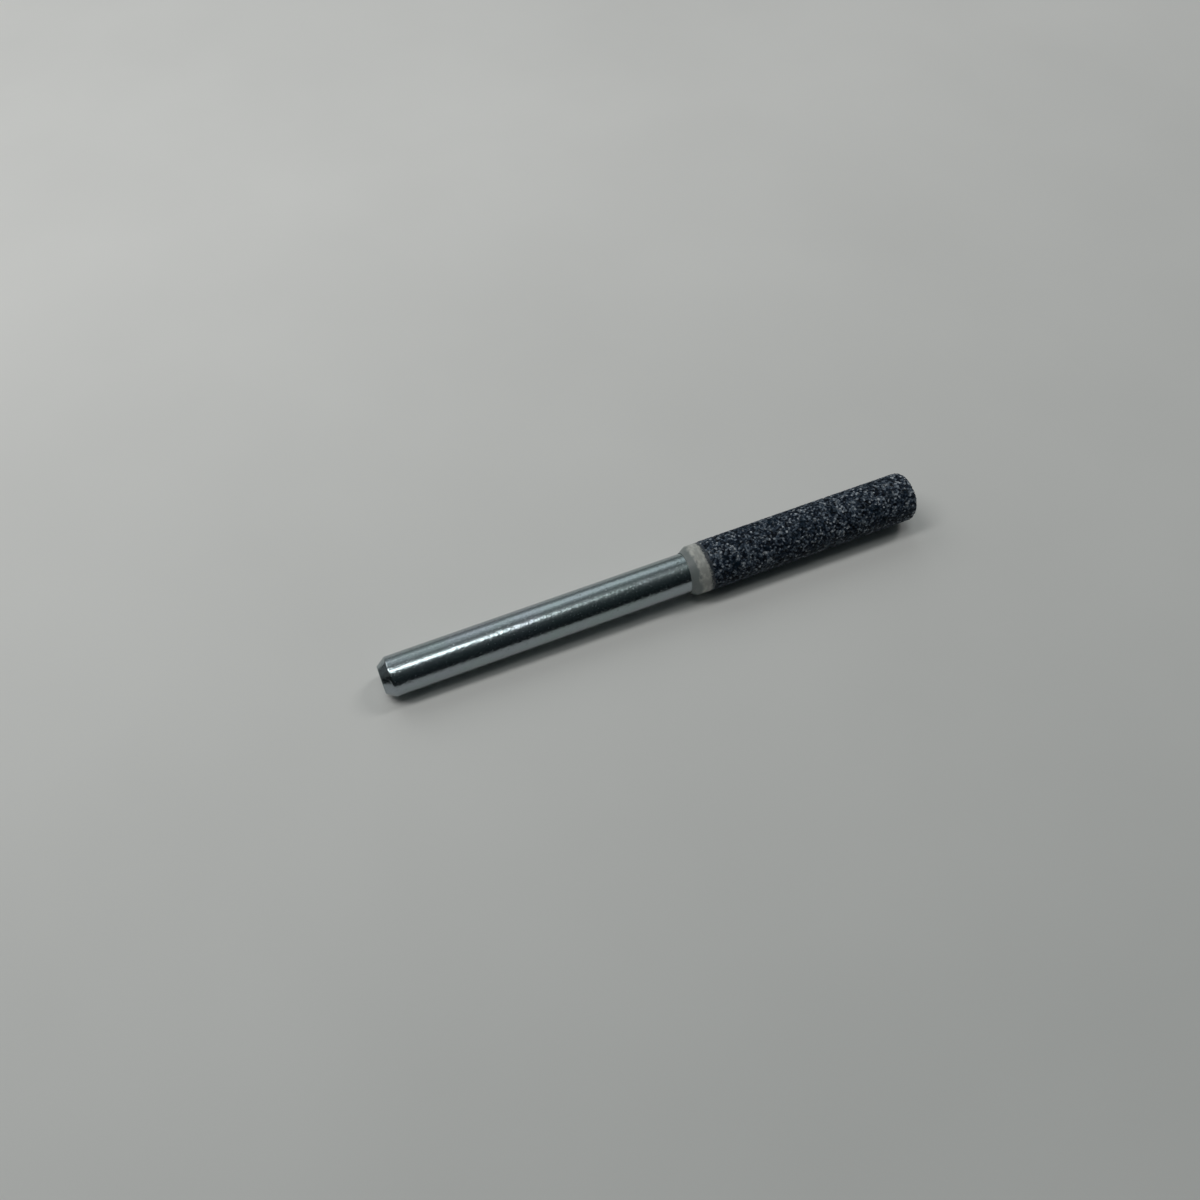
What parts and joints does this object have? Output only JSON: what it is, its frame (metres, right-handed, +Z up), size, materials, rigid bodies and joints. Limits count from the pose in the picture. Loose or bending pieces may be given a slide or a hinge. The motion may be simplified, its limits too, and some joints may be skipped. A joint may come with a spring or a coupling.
{
  "type": "mounted grinding stone",
  "caption": "Slim cylindrical grinding stone bonded on a plated steel mandrel with a milky plastic collar, for sharpening saw chain in a rotary tool.",
  "frame": {"origin": "centre of the flat face on the mandrel's driven end, on the axis of rotation", "axes": "+X along the axis of rotation from the driven end to the stone's tip, +Z up, so the part lies on its side"},
  "size_m": [0.0444, 0.004, 0.004],
  "materials": {
    "plated_steel": "bright zinc plating, slightly blue, with fine tumbling marks",
    "milky_plastic": "milky translucent plastic, satin",
    "adhesive": "cured clear to milky adhesive",
    "abrasive": "rough bonded grit, blue-black with pale grains"
  },
  "bodies": {
    "root": {"mandrel": "plated_steel", "collar": "milky_plastic", "bond": "adhesive", "stone": "abrasive"}
  },
  "joints": []
}
